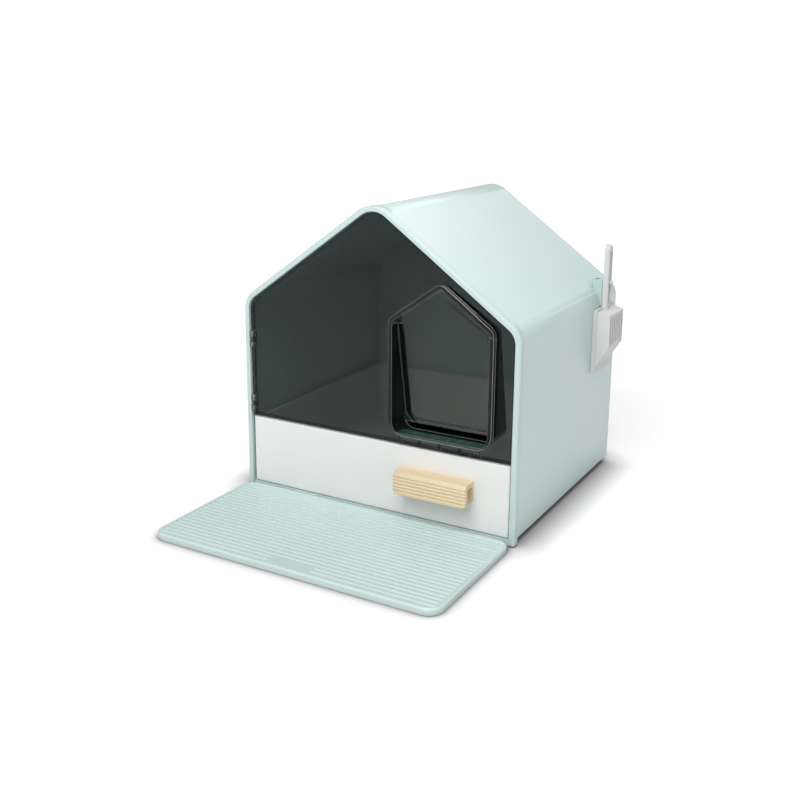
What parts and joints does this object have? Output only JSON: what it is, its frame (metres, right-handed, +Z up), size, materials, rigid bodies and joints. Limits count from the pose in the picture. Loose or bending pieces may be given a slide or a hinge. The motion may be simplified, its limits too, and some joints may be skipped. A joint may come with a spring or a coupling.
{
  "type": "covered litter box",
  "caption": "House-shaped covered litter box with a hinged see-through door, swinging cat flap, pull-out litter drawer, ribbed pedal in front and a scoop on a side hook.",
  "frame": {"origin": "on the floor under the middle of the house's footprint", "axes": "+Z up, +Y from the door towards the back, +X towards the side that carries the scoop"},
  "size_m": [0.4738, 0.618, 0.4522],
  "materials": {
    "mint_plastic": "satin moulded",
    "smoked_acrylic": "clear smoked gloss",
    "white_plastic": "soft gloss moulded",
    "grey_plastic": "satin moulded",
    "pale_wood": "sealed, grooved",
    "pin_steel": "bright drawn",
    "dark_steel": "blackened"
  },
  "bodies": {
    "house": {"hood_shell": "mint_plastic", "front_frame": "mint_plastic", "rear_panel": "mint_plastic", "base_pan": "mint_plastic", "lower_hinge_bracket": "grey_plastic", "upper_hinge_bracket": "grey_plastic", "lower_hinge_pin": "pin_steel", "upper_hinge_pin": "pin_steel", "scoop_hook": "mint_plastic", "hook_screw": "dark_steel"},
    "front_door": {"door_panel": "smoked_acrylic", "entry_collar": "smoked_acrylic", "entry_sill": "smoked_acrylic"},
    "flap": {"cat_flap": "smoked_acrylic", "flap_pins": "pin_steel"},
    "drawer": {"drawer_front": "white_plastic", "litter_tray": "white_plastic", "drawer_handle": "pale_wood", "handle_screws": "pin_steel", "tray_screws": "pin_steel"},
    "pedal": {"pedal_plate": "mint_plastic"},
    "scoop": {"litter_scoop": "grey_plastic"}
  },
  "joints": [
    {"name": "front_door_hinge", "type": "hinge", "parent": "house", "child": "front_door", "pos_m": [-0.211, -0.1975, 0.187], "axis": [0, 0, -1], "range_deg": [0, 110]},
    {"name": "cat_flap_swing", "type": "hinge", "parent": "front_door", "child": "flap", "pos_m": [0.107, -0.1855, 0.2909], "axis": [1, 0, 0], "range_deg": [0, 60]},
    {"name": "drawer_slide", "type": "slide", "parent": "house", "child": "drawer", "axis": [0, -1, 0], "range_m": [0, 0.26]},
    {"name": "pedal_pull", "type": "slide", "parent": "house", "child": "pedal", "axis": [0, -1, 0], "range_m": [0, 0.06]},
    {"name": "scoop_take_off", "type": "slide", "parent": "house", "child": "scoop", "axis": [1, 0, 0], "range_m": [0, 0.06]}
  ]
}
